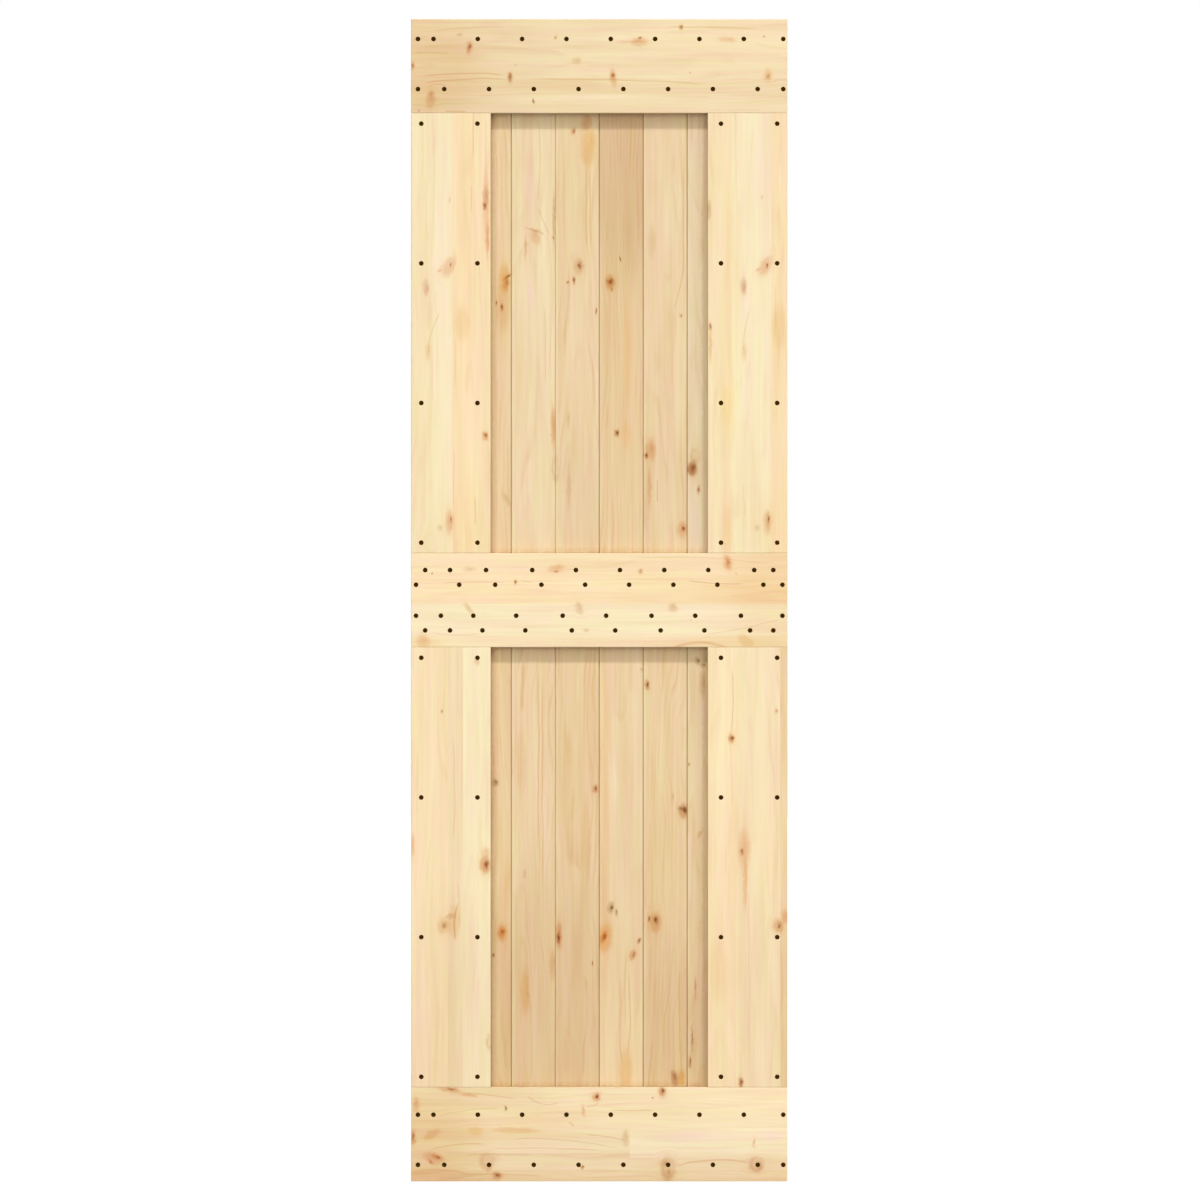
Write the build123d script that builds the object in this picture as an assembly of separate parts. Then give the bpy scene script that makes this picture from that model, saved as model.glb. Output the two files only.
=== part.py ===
from build123d import *
import math
import os

# Interior barn-style door leaf of solid pine, taken from a photograph of its front.
# A core of tongue-and-groove boards stands between two frames of wide boards. The core is laid
# in two halves, one above the other, and their butt joint is hidden behind the middle rails.
# The boards of each frame are fastened to the core with countersunk screws, which sit in the
# seats cut here. The back frame is the front one turned half round, so that the screws of one
# face pass beside those of the other in the rails.
#
# Millimetres. X runs along the leaf's width, Y from its front to its back, Z up.
# The origin is the centre of the top edge, where the leaf hangs from its track.

# The leaf
LEAF_WIDTH = 680.0
LEAF_HEIGHT = 2100.0
CORE_THICKNESS = 18.0
FRAME_THICKNESS = 16.0

# The boards of the two frames
RAIL_HEIGHT = 170.0
STILE_WIDTH = 144.0
ROUNDED_EDGE = 1.2          # radius round the outer face of each frame board

# The tongue-and-groove boards of the core
BOARD_COVER = 79.5          # from one joint to the next
NARROWEST_STRIP = 15.0      # the least that may be left over at each side of the leaf
FACE_GAP = 0.4              # between the faces of two boards at their joint
BEVEL = 1.4                 # on the long edges of both faces, which makes a V at each joint
TONGUE_LENGTH = 7.0
TONGUE_THICKNESS = 5.4
TONGUE_BEVEL = 0.8
GROOVE_SPARE_DEPTH = 0.5    # left in front of the tongue's tip
GROOVE_CLEARANCE = 0.25     # on each side of the tongue

# The countersunk screw seats, whose cone has few sides because there are so many of them
SEAT_RADIUS = 4.2           # at the board's face, to the middle of a side
SEAT_SIDES = 16
SEAT_SLOPE = 45.0           # of the cone's side from its axis, in degrees

# Screws in the stiles
STILE_SCREW_ROWS = 4
STILE_SCREW_END = 19.0      # first and last row, from the stile's ends
STILE_SCREW_OUTER = 18.5    # from the stile's outer edge
STILE_SCREW_INNER = 24.0    # from the edge beside the panel

# Screws in the top and bottom rails: two rows, with one screw in each board of the core.
# A row is drilled from the first board's left joint, in steps a little over one board.
END_RAIL_ROW_SPACING = 90.5
TOP_RAIL_MARGIN = 36.0      # from the rail's top edge to its upper row
BOTTOM_RAIL_MARGIN = 30.0   # from the rail's bottom edge to its lower row
UPPER_ROW_START = 18.5
UPPER_ROW_CREEP = 0.6       # how far the screw moves along its board from one board to the next
LOWER_ROW_START = 38.0
LOWER_ROW_CREEP = 1.4
END_RAIL_LEFT_MARGIN = 12.5     # the screw in the narrow strip, from the leaf's left edge
END_RAIL_RIGHT_MARGIN = 7.5     # and from its right edge

# Screws in the middle rail: a slanting pair in each core board of either half
PAIR_MARGIN = 30.5          # from the rail's edge to the nearer row
PAIR_DROP = 26.5            # between the two screws of a pair, down
PAIR_SHIFT = 16.5           # and along the rail
STRIP_PAIR_MARGIN = 9.0     # the outer screw in the narrow strip, from the leaf's edge
UPPER_PAIR_STARTS = (48.5, 34.0, 38.0, 37.5, 37.5, 38.0, 38.0, 41.5)  # from each left joint
LOWER_PAIR_STARTS = (32.0, 11.0, 9.0, 13.5, 12.5, 15.0, 14.5, 17.5)

# Places that follow from the sizes
BOARD_COUNT = int((LEAF_WIDTH - 2 * NARROWEST_STRIP) // BOARD_COVER)
JOINTS = [(i - BOARD_COUNT / 2) * BOARD_COVER for i in range(BOARD_COUNT + 1)]
LEFT_EDGE = -LEAF_WIDTH / 2
RIGHT_EDGE = LEAF_WIDTH / 2
MIDDLE = -LEAF_HEIGHT / 2
STILE_LENGTH = LEAF_HEIGHT / 2 - 1.5 * RAIL_HEIGHT
STILE_OFFSET = (LEAF_WIDTH - STILE_WIDTH) / 2
STILE_RISE = (RAIL_HEIGHT + STILE_LENGTH) / 2
FRONT_FACE = -CORE_THICKNESS / 2 - FRAME_THICKNESS
SEAT_DEPTH = SEAT_RADIUS / math.tan(math.radians(SEAT_SLOPE))


def screw_seat():
    """The cone of a countersunk head, with its wide end at the origin and facing the front."""
    mouth = Plane.XZ * RegularPolygon(SEAT_RADIUS, SEAT_SIDES, major_radius=False)
    return loft([mouth, Vertex(0, SEAT_DEPTH, 0)], ruled=True)


def frame_board(width, height, x, z, screws):
    """A board of the front frame, centred at x and z, with a seat for each screw's (x, z)."""
    board = Pos(x, FRONT_FACE + FRAME_THICKNESS / 2, z) * Box(width, FRAME_THICKNESS, height)
    board = fillet(board.faces().sort_by(Axis.Y)[0].edges(), ROUNDED_EDGE)
    return board - [Pos(x, FRONT_FACE, z) * screw_seat() for x, z in screws]


def end_rail_screws(upper_row):
    """The screws of the top or bottom rail, whose upper row is at that height."""
    places = []
    rows = (
        (upper_row, UPPER_ROW_START, UPPER_ROW_CREEP),
        (upper_row - END_RAIL_ROW_SPACING, LOWER_ROW_START, LOWER_ROW_CREEP),
    )
    for z, start, creep in rows:
        places += [(joint + start + i * creep, z) for i, joint in enumerate(JOINTS[:-1])]
        places += [(LEFT_EDGE + END_RAIL_LEFT_MARGIN, z), (RIGHT_EDGE - END_RAIL_RIGHT_MARGIN, z)]
    return places


def middle_rail_screws():
    """The slanting pairs of the middle rail: one row of pairs above its centre, one below."""
    half = RAIL_HEIGHT / 2
    upper = MIDDLE + half - PAIR_MARGIN
    lower = MIDDLE - half + PAIR_MARGIN + PAIR_DROP
    places = []
    for z, starts in ((upper, UPPER_PAIR_STARTS), (lower, LOWER_PAIR_STARTS)):
        for i, joint in enumerate(JOINTS[:-1]):
            x = joint + starts[i % len(starts)]
            places += [(x, z), (x + PAIR_SHIFT, z - PAIR_DROP)]
    inner_margin = STRIP_PAIR_MARGIN + PAIR_SHIFT
    for margin, upper_drop, lower_drop in ((inner_margin, 0, PAIR_DROP), (STRIP_PAIR_MARGIN, PAIR_DROP, 0)):
        for x in (LEFT_EDGE + margin, RIGHT_EDGE - margin):
            places += [(x, upper - upper_drop), (x, lower - lower_drop)]
    return places


def stile_screws(x, z):
    """Two columns of screws in the stile centred at x and z."""
    outward = 1 if x > 0 else -1
    columns = (
        x + outward * (STILE_WIDTH / 2 - STILE_SCREW_OUTER),
        x - outward * (STILE_WIDTH / 2 - STILE_SCREW_INNER),
    )
    span = STILE_LENGTH - 2 * STILE_SCREW_END
    step = span / (STILE_SCREW_ROWS - 1)
    return [(column, z + span / 2 - i * step) for column in columns for i in range(STILE_SCREW_ROWS)]


def rails():
    """The front frame's top, middle and bottom rails."""
    bottom_screws = end_rail_screws(-LEAF_HEIGHT + BOTTOM_RAIL_MARGIN + END_RAIL_ROW_SPACING)
    places = {
        "top_rail": (-RAIL_HEIGHT / 2, end_rail_screws(-TOP_RAIL_MARGIN)),
        "middle_rail": (MIDDLE, middle_rail_screws()),
        "bottom_rail": (-LEAF_HEIGHT + RAIL_HEIGHT / 2, bottom_screws),
    }
    return {
        name: frame_board(LEAF_WIDTH, RAIL_HEIGHT, 0, z, screws)
        for name, (z, screws) in places.items()
    }


def stiles(left, right):
    """The front frame's stiles, with the names for those on its left and on its right."""
    return {
        f"{level}_{hand}_stile": frame_board(STILE_WIDTH, STILE_LENGTH, x, z, stile_screws(x, z))
        for level, z in (("upper", MIDDLE + STILE_RISE), ("lower", MIDDLE - STILE_RISE))
        for hand, x in ((left, -STILE_OFFSET), (right, STILE_OFFSET))
    }


def frames():
    """The boards of both frames, by node name. Left and right are as seen from the front."""
    front = {**rails(), **stiles("left", "right")}
    back = {**rails(), **stiles("right", "left")}
    boards = {f"front_{name}": board for name, board in front.items()}
    boards.update({f"back_{name}": Rot(Z=180) * board for name, board in back.items()})
    return boards


def board_profile(left, right, groove, tongue):
    """A core board seen from above: bevelled faces, a groove on its left edge, a tongue on its right."""
    width = right - left
    body = Rectangle(width, CORE_THICKNESS)
    corners = body.vertices()
    if not groove:
        corners = corners.filter_by_position(Axis.X, 0, width)
    if not tongue:
        corners = corners.filter_by_position(Axis.X, -width, 0)
    profile = chamfer(corners, BEVEL)
    if groove:
        depth = TONGUE_LENGTH + GROOVE_SPARE_DEPTH
        mouth = Rectangle(depth, TONGUE_THICKNESS + 2 * GROOVE_CLEARANCE, align=(Align.MIN, Align.CENTER))
        profile -= Pos(-width / 2, 0) * mouth
    if tongue:
        tip = Rectangle(TONGUE_LENGTH, TONGUE_THICKNESS, align=(Align.MIN, Align.CENTER))
        tip = chamfer(tip.vertices().filter_by_position(Axis.X, TONGUE_LENGTH / 2, TONGUE_LENGTH), TONGUE_BEVEL)
        profile += Pos(width / 2, 0) * tip
    return Pos((left + right) / 2, 0) * profile


def core():
    """The boards of the core, by node name: a strip, the full boards and a strip in either half."""
    half_gap = FACE_GAP / 2
    edges = [LEFT_EDGE] + JOINTS + [RIGHT_EDGE]
    last = len(edges) - 2
    boards = {}
    for i in range(last + 1):
        left = edges[i] + (half_gap if i > 0 else 0)
        right = edges[i + 1] - (half_gap if i < last else 0)
        profile = board_profile(left, right, groove=i > 0, tongue=i < last)
        for half, foot in (("upper", MIDDLE), ("lower", -LEAF_HEIGHT)):
            boards[f"{half}_board_{i + 1:02d}"] = Pos(0, 0, foot) * extrude(profile, LEAF_HEIGHT / 2)
    return boards


def main():
    """Writes one STEP file for each board."""
    os.makedirs("parts", exist_ok=True)
    for name, board in {**frames(), **core()}.items():
        export_step(board, f"parts/{name}.step")


main()
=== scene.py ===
"""Finishes the boards of a barn-style pine door leaf, drives its screws and sets its stage.

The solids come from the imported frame. Every board keeps its own solid and gets pine of its own:
tone, glued strips, growth rings round a pith behind the face, and knots that push the grain aside.
Wood is worked out in millimetres in the board's own directions: along the grain, across the face
and through the thickness.
"""

import math
from collections import namedtuple

import bpy
import numpy as np
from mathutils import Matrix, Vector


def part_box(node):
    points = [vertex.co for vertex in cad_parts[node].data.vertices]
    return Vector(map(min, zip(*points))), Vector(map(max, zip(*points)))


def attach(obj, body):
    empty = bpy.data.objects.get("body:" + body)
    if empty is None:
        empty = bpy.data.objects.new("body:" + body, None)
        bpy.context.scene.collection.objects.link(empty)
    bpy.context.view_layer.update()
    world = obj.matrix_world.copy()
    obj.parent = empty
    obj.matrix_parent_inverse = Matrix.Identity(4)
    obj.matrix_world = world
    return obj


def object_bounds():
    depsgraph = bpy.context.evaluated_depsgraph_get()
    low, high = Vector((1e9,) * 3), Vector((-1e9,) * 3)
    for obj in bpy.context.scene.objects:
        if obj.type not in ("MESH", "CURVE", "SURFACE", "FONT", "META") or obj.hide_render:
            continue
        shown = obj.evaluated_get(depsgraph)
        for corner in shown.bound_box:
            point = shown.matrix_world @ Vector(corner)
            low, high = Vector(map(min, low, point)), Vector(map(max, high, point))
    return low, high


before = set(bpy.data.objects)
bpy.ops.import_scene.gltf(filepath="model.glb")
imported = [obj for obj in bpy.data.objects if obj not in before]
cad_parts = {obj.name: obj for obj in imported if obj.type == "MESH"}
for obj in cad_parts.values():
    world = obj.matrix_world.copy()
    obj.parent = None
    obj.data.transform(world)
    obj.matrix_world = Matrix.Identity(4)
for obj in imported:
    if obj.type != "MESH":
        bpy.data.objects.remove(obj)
CAD_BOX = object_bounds()

bl_info = {
    "name": "Pine door leaf",
    "version": (1, 0, 0),
    "blender": (4, 5, 0),
    "location": "View3D > Sidebar > Door leaf",
    "description": "Pine boards, countersunk screws and a plain stage for a barn-style door leaf",
    "category": "Object",
}

MM = 0.001
TAB = "Door leaf"
WHITE = (1.0, 1.0, 1.0, 1.0)

# Boards, as they are told apart on the leaf.
# A board has a tone from pale 0 to deep 1, its pith's place across and behind the face and the
# width of a year's ring, in millimetres, glued strips and marks, how strongly its rings show, and
# how dark its left or bottom and its right or top edge are.
# A strip is a glued stave of a wide board: where it starts, as a share of the board's width from
# its left or bottom edge, how much deeper its tone is than the board's, and how warm it is.
# A knot lies at x, z on the leaf in millimetres from the centre of its top edge. Along and across
# are its half sizes with and across the grain, much is how strongly it shows, turn is in degrees.
# A trace is a dark line along the grain from one end to the other, which bows up or to the right
# by that much in the middle. A patch is a piece of another stave between two corners.
Strip = namedtuple("Strip", "start tone warmth", defaults=(0.0, 0.0))
Knot = namedtuple("Knot", "x z along across kind much turn", defaults=(1.0, 0))
Trace = namedtuple("Trace", "x0 z0 x1 z1 bow width depth")
Patch = namedtuple("Patch", "x0 z0 x1 z1 tone")
Board = namedtuple("Board", "tone pith depth ring strips marks figure sides",
                   defaults=((Strip(0.0),), (), 0.7, (1.0, 1.0)))
Kind = namedtuple("Kind", "stain wood heart push core", defaults=((1.0, 1.0, 1.0), 0.0, 0.62))

# What the colour of the wood is multiplied by round a knot, in it and at its heart, how hard the
# knot pushes the grain aside, and how far its heart reaches, as a share of its half sizes. A kind
# with no heart and no push is a wash of colour.
RED = Kind((0.97, 0.90, 0.85), (0.86, 0.70, 0.61), (0.62, 0.43, 0.33), 0.9)
DARK = Kind((0.97, 0.91, 0.85), (0.76, 0.59, 0.46), (0.38, 0.24, 0.15), 0.9)
BROWN = Kind((0.96, 0.87, 0.78), (0.62, 0.42, 0.30), (0.62, 0.50, 0.42), 0.9)
PIN = Kind((0.98, 0.94, 0.90), (0.72, 0.56, 0.44), (0.50, 0.36, 0.26), 0.6)
PALE = Kind((0.985, 0.95, 0.93), (0.87, 0.81, 0.79), (0.93, 0.88, 0.86), 0.8)
FAINT = Kind((0.99, 0.975, 0.955), (0.915, 0.865, 0.81), (0.95, 0.92, 0.89), 0.7)
PINK = Kind((1.0, 0.995, 1.01), (1.01, 0.985, 1.05), (1.0, 0.98, 1.04), 0.2)
ORANGE = Kind((0.99, 0.95, 0.89), (0.95, 0.82, 0.64), (1.0, 0.96, 0.90), 0.8)
RUST = Kind((0.98, 0.90, 0.81), (0.85, 0.66, 0.50), (0.66, 0.47, 0.35), 0.9)
STREAK = Kind((0.99, 0.95, 0.92), (0.93, 0.81, 0.75), (0.97, 0.90, 0.86), 0.4)
AMBER = Kind((0.985, 0.965, 0.935), (0.95, 0.88, 0.79))
BLUSH = Kind((0.975, 0.965, 0.955), (0.93, 0.90, 0.875))
WARM = Kind((1.0, 0.975, 0.94), (1.0, 0.95, 0.88), (1.0, 0.97, 0.93), 0.0)
MOSS = Kind((0.97, 0.96, 0.93), (0.80, 0.76, 0.67), (0.62, 0.55, 0.45), 0.8)
GREY = Kind((0.98, 0.985, 1.0), (0.96, 0.98, 1.03))
YELLOW = Kind((1.0, 0.995, 0.97), (0.995, 0.99, 0.93))
CLEAR = Kind((1.01, 1.01, 1.01), (1.03, 1.03, 1.04))
COOL = Kind((0.995, 1.005, 1.02), (0.985, 1.03, 1.08))
# Painted shade, where the frame shades the core.
SHADE = Kind((1.0, 1.0, 1.0), (0.80, 0.76, 0.70))
RING = Kind((0.98, 0.94, 0.90), (0.80, 0.65, 0.56), (1.16, 1.32, 1.45), 1.0, 0.88)

# Whose wood each back board has. It is named as it lies when the leaf is seen from behind.
BACK_SOURCES = {
    "top_rail": "bottom_rail",
    "bottom_rail": "top_rail",
    "upper_left_stile": "lower_right_stile",
    "upper_right_stile": "lower_left_stile",
    "lower_left_stile": "upper_right_stile",
    "lower_right_stile": "upper_left_stile",
}

FRONT_BOARDS = {
    "top_rail": Board(tone=0.31, pith=70, depth=60, ring=7.5, figure=0.55, strips=(
        Strip(0.0), Strip(0.2, 0.14), Strip(0.37, 0.02), Strip(0.74, 0.03),
    ), marks=(
        Knot(-235, -52, 5, 11, RED, 1.0, 8), Knot(-161, -107, 5, 9, DARK, 0.9, 6),
        Knot(-160, -100, 3, 4, RED, 0.6), Knot(-304, -144, 9, 17, STREAK, 1.1, 4),
        Knot(-303, -136, 4, 5, RED, 0.3), Knot(-118, -148, 2, 4.5, PIN), Knot(25, -106, 6, 17, STREAK, 1.2, -6),
        Knot(25, -102, 3, 5, RED), Knot(73, -41, 15, 9, STREAK), Knot(60, -41, 26, 3, STREAK, 0.6),
        Knot(74, -34, 3.5, 2.5, PIN), Knot(148, -15, 4, 5.5, DARK, 0.9), Knot(231, -37, 17, 5, STREAK, 0.8, 6),
        Knot(305, -102, 7, 11, ORANGE, 0.9), Knot(305, -104, 4, 5, MOSS, 0.8), Knot(-79, -33, 2.5, 4, RED),
        Knot(-337, -85, 4, 6, RED), Knot(-152, -83, 2.5, 2, FAINT), Knot(298, -32, 2, 1.6, PIN),
        Knot(-253, -29, 6, 4, FAINT), Knot(-40, -76, 9, 7, FAINT), Knot(-327, -165, 2, 1.6, PIN),
        Knot(164, -97, 2, 2, FAINT), Knot(-240, -160, 120, 22, BLUSH, 0.7),
        Knot(-190, -70, 120, 70, BLUSH, 0.3), Knot(-340, -90, 130, 110, AMBER, 0.8),
        Knot(-340, -90, 130, 110, BLUSH, 0.4), Knot(260, -30, 190, 60, CLEAR),
        Trace(-322, -101, -172, -99, 4, 2.2, 0.5), Trace(-320, -114, -166, -107, 4, 2.2, 0.5),
        Trace(-308, -120, -276, -119, 3, 2.0, 0.4), Trace(-120, -107, 190, -116, 3, 2.4, 0.4),
        Trace(120, -14, 284, -16, -1, 2.0, 0.45), Trace(-280, -166, -236, -167, 0, 2.5, 0.6),
        Trace(-335, -60, -270, -62, 1, 2.0, 0.3), Trace(-300, -20, -170, -13, 2, 2.4, 0.3),
        Patch(197, -170, 340, -139, 0.06),
    )),
    "middle_rail": Board(tone=0.19, pith=55, depth=90, ring=8.0, figure=0.55, strips=(
        Strip(0.0, 0.03, 0.2), Strip(0.12, -0.09), Strip(0.46, 0.0, 0.55), Strip(0.8, 0.0, 0.4),
    ), marks=(
        Knot(-77, -993, 17, 8, STREAK, 1.1, -8), Knot(-78, -998, 4, 3, PIN, 0.7),
        Knot(-152, -1018, 2.5, 5, DARK), Knot(232, -981, 8, 15, STREAK, 1.3, -12),
        Knot(233, -984, 5, 9, RED, 0.5, -12), Knot(75, -998, 4, 5, FAINT, 2.2),
        Knot(-235, -1066, 5, 15, FAINT, 1.2, -38), Knot(-36, -1064, 7, 14, FAINT, 1.2, -20),
        Knot(133, -1063, 8, 8, FAINT, 1.4), Knot(-24, -1105, 6, 4, FAINT, 1.3),
        Knot(-318, -1124, 13, 14, STREAK, 0.9), Knot(265, -1124, 17, 10, AMBER, 1.0, 40),
        Knot(230, -1128, 130, 16, AMBER, 0.6), Knot(-320, -1130, 40, 12, AMBER, 0.5),
        Knot(-302, -1002, 2, 1.8, PIN), Knot(-235, -994, 13, 5, FAINT), Knot(-147, -992, 25, 4, PINK),
        Knot(11, -1053, 9, 4, PINK), Knot(247, -1002, 2, 2, FAINT), Knot(166, -1086, 2, 2, FAINT),
        Knot(262, -1036, 95, 18, AMBER, 0.5), Knot(330, -1030, 90, 110, AMBER, 0.6),
        Trace(-282, -1018, -170, -1017, 2, 1.5, 0.5), Trace(-140, -1016, -120, -1018, 0, 1.4, 0.4),
        Trace(160, -1016, 262, -1022, -2, 1.5, 0.8), Trace(133, -1132, 236, -1132, 12, 4.5, 0.55),
        Trace(196, -1112, 334, -1085, -3, 1.8, 0.35), Trace(60, -970, 320, -982, 5, 1.6, 0.3),
        Trace(-300, -1110, -215, -1112, -4, 2, 0.3), Trace(-60, -994, -40, -993, 0, 1.4, 0.6),
    )),
    "bottom_rail": Board(tone=0.31, pith=-5, depth=75, ring=8.0, figure=0.55, strips=(
        Strip(0.0, 0.4), Strip(0.12, 0.2), Strip(0.3, 0.1), Strip(0.57, 0.03), Strip(0.8, 0.0),
    ), marks=(
        Knot(-270, -1934, 20, 6, RED, 0.9, 10), Knot(-236, -1944, 16, 3.5, STREAK, 1.0, 8),
        Knot(-5, -1947, 8, 8, RED, 1.1), Knot(-4, -1948, 4, 3, PIN), Knot(114, -1939, 10, 12, RED, 0.35),
        Knot(114, -1938, 7, 9, DARK, 0.9), Knot(97, -1949, 2.5, 1.8, PIN), Knot(-169, -1968, 2.2, 5, DARK),
        Knot(-29, -1972, 3, 11, STREAK, 1.0, -8), Knot(-299, -2058, 20, 11, STREAK, 1.1, 20),
        Knot(-292, -2056, 11, 3.5, RED, 0.8, 15), Knot(-304, -2064, 8, 2.5, RED, 0.6, 40),
        Knot(-203, -2064, 14, 15, RING, 0.7), Knot(-199, -2076, 5, 7, STREAK, 0.8, 30),
        Knot(-184, -2090, 9, 8, RED), Knot(124, -2079, 14, 23, RING, 0.95), Knot(125, -2085, 7, 9, RED, 0.45),
        Knot(121, -2069, 5, 6, DARK, 0.5), Knot(284, -2070, 14, 14, RING), Knot(289, -2071, 5, 9, RED, 0.4),
        Knot(280, -2030, 3, 10, RED, 0.5), Knot(-31, -2074, 3, 4, DARK), Knot(-223, -2008, 15, 8, ORANGE, 0.6),
        Knot(-302, -2015, 8, 17, AMBER, 1.3, 60), Knot(48, -2021, 6, 15, FAINT, 1.1),
        Knot(-336, -2021, 5, 13, RED), Knot(-331, -1962, 6, 14, STREAK),
        Knot(-151, -2008, 42, 6, AMBER, 1.1, 2), Knot(-335, -2040, 120, 110, AMBER, 0.8),
        Knot(-335, -2040, 120, 110, BLUSH, 0.5), Knot(280, -1945, 130, 34, CLEAR),
        Knot(40, -2066, 340, 60, GREY, 0.7), Knot(-180, -1950, 110, 22, BLUSH, 0.6),
        Knot(-170, -1975, 130, 45, YELLOW, 0.4), Knot(-230, -2092, 60, 10, BLUSH, 0.7),
        Knot(-320, -2062, 26, 14, PINK), Knot(160, -2020, 48, 9, PINK), Knot(310, -2020, 22, 9, PINK),
        Trace(-130, -1950, -74, -1962, -9, 1.8, 0.5), Trace(-26, -1966, 2, -1958, -3, 1.6, 0.5),
        Trace(-200, -2040, 0, -2042, 2, 1.8, 0.5), Trace(-240, -2051, -120, -2052, 2, 1.8, 0.4),
        Trace(142, -2067, 270, -2062, 8, 2.2, 0.6), Trace(24, -1972, 98, -1972, 0, 2.0, 0.5),
        Trace(-52, -1993, -42, -2000, 0, 2.2, 0.7), Trace(-290, -1980, -180, -1966, 5, 1.8, 0.35),
        Trace(-246, -1939, -148, -1950, 2, 1.8, 0.5), Trace(-305, -2040, -205, -2031, 6, 1.8, 0.5),
        Trace(-23, -2014, 50, -2026, 2, 1.6, 0.5), Trace(-250, -2086, -110, -2090, 3, 1.8, 0.4),
        Trace(-160, -2020, 30, -2036, 6, 1.6, 0.45), Trace(-326, -2078, -240, -2084, 4, 1.8, 0.5),
        Patch(55, -2057, 340, -2003, -0.2),
    )),
    "upper_left_stile": Board(tone=0.17, pith=25, depth=110, ring=8.0, figure=0.45, strips=(
        Strip(0.0, 0.02), Strip(0.27, -0.09), Strip(0.52, 0.02, 0.6), Strip(0.79, 0.04, 0.4),
    ), marks=(
        Knot(-204, -346, 70, 7, STREAK, 0.8), Knot(-205, -322, 20, 6, PALE), Knot(-207, -337, 7, 3.4, DARK),
        Knot(-202, -400, 32, 2.6, STREAK, 1.2), Knot(-273, -449, 20, 12, STREAK, 0.8, -25),
        Knot(-271, -446, 17, 9, RING, 0.3, -25), Knot(-268, -445, 5, 2, PIN, 0.8),
        Knot(-289, -454, 5, 2.5, STREAK, 1.0, -60), Knot(-313, -484, 15, 6.5, PALE, 0.8),
        Knot(-312, -489, 8, 3.5, STREAK, 0.6), Knot(-206, -753, 8, 6, RED, 1.1),
        Knot(-248, -550, 32, 14, AMBER, 0.8), Knot(-271, -909, 22, 8, STREAK),
        Knot(-269, -906, 18, 5, RING, 0.3), Knot(-268, -904, 8, 2, DARK, 0.7), Knot(-288, -919, 6, 5, FAINT),
        Knot(-309, -602, 16, 5, AMBER), Knot(-304, -948, 20, 18, RING, 0.15), Knot(-270, -326, 5, 2, FAINT),
        Knot(-320, -620, 420, 14, YELLOW, 0.6), Knot(-282, -300, 120, 16, PINK, 0.5),
        Knot(-245, -960, 130, 60, AMBER, 0.35), Trace(-300, -170, -299, -420, 2, 2.6, 0.22),
        Trace(-227, -130, -228, -250, 1, 1.8, 0.45), Trace(-231, -300, -231, -346, 0, 1.5, 0.4),
        Trace(-204, -180, -205, -300, 0, 2.4, 0.25), Trace(-289, -526, -311, -609, -6, 2.2, 0.4),
        Trace(-259, -580, -260, -664, 0, 1.5, 0.35), Trace(-262, -780, -263, -880, 0, 1.6, 0.35),
        Trace(-225, -860, -223, -916, 1, 1.9, 0.5),
    )),
    "upper_right_stile": Board(tone=0.15, pith=65, depth=130, ring=8.0, figure=0.45, strips=(
        Strip(0.0, 0.03, 0.2), Strip(0.3, -0.07), Strip(0.53, -0.06), Strip(0.8, 0.06, 0.5),
    ), marks=(
        Knot(300, -447, 20, 11, STREAK, 0.9, -25), Knot(302, -444, 17, 8, RING, 0.35, -25),
        Knot(303, -446, 5.5, 2.2, PIN), Knot(286, -454, 5, 2.5, STREAK, 1.0, -60),
        Knot(261, -482, 16, 6.5, PALE), Knot(261, -487, 9, 3.5, STREAK, 0.8),
        Knot(304, -909, 22, 8, STREAK, 1.1), Knot(306, -906, 18, 5, RING, 0.35),
        Knot(306, -904, 8, 2, DARK, 0.8), Knot(285, -919, 6, 5, FAINT), Knot(262, -602, 16, 5, AMBER),
        Knot(325, -556, 42, 14, AMBER, 0.9), Knot(198, -346, 18, 5, FAINT, 1.6),
        Knot(200, -556, 8, 3, DARK, 0.8), Knot(201, -590, 30, 3.5, STREAK), Knot(294, -322, 4, 2, FAINT),
        Knot(230, -697, 38, 12, YELLOW, 2.0), Knot(231, -925, 52, 9, ORANGE, 0.45),
        Knot(236, -540, 300, 17, YELLOW, 0.9), Knot(290, -300, 150, 22, PINK, 0.35),
        Knot(300, -960, 130, 50, AMBER, 0.35), Knot(212, -200, 110, 16, YELLOW, 0.5),
        Trace(270, -526, 260, -609, -6, 2.2, 0.4), Trace(246, -150, 247, -300, 1, 1.8, 0.25),
        Trace(318, -480, 319, -560, 0, 1.5, 0.25), Trace(262, -840, 262, -900, 0, 1.8, 0.3),
    )),
    "lower_left_stile": Board(tone=0.22, pith=60, depth=70, ring=7.5, figure=0.45, strips=(
        Strip(0.0, -0.01, 0.3), Strip(0.46, 0.11), Strip(0.65, -0.12),
    ), marks=(
        Knot(-284, -1250, 4, 2.5, PIN, 0.7), Knot(-221, -1160, 8, 6, FAINT, 1.3),
        Knot(-205, -1506, 11, 9, STREAK, 0.7), Knot(-206, -1528, 16, 11, RED, 1.1),
        Knot(-205, -1531, 8, 5, RED, 0.7), Knot(-262, -1630, 32, 11, AMBER, 1.1),
        Knot(-281, -1639, 15, 12, RUST, 0.5), Knot(-281, -1639, 4, 3, PIN, 0.4),
        Knot(-270, -1621, 5, 10, FAINT, 1.3, 15), Knot(-197, -1848, 15, 8, RING, 0.6),
        Knot(-338, -1494, 22, 5, STREAK), Knot(-320, -1790, 150, 12, PINK, 0.8),
        Knot(-270, -1850, 270, 120, BLUSH, 0.7), Trace(-257, -1596, -262, -1662, -4, 2.6, 0.7),
        Trace(-262, -1300, -262, -1480, 2, 2.0, 0.35), Trace(-255, -1560, -251, -1640, 2, 2.0, 0.35),
        Trace(-327, -1320, -329, -1440, 0, 1.6, 0.25),
    )),
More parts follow.
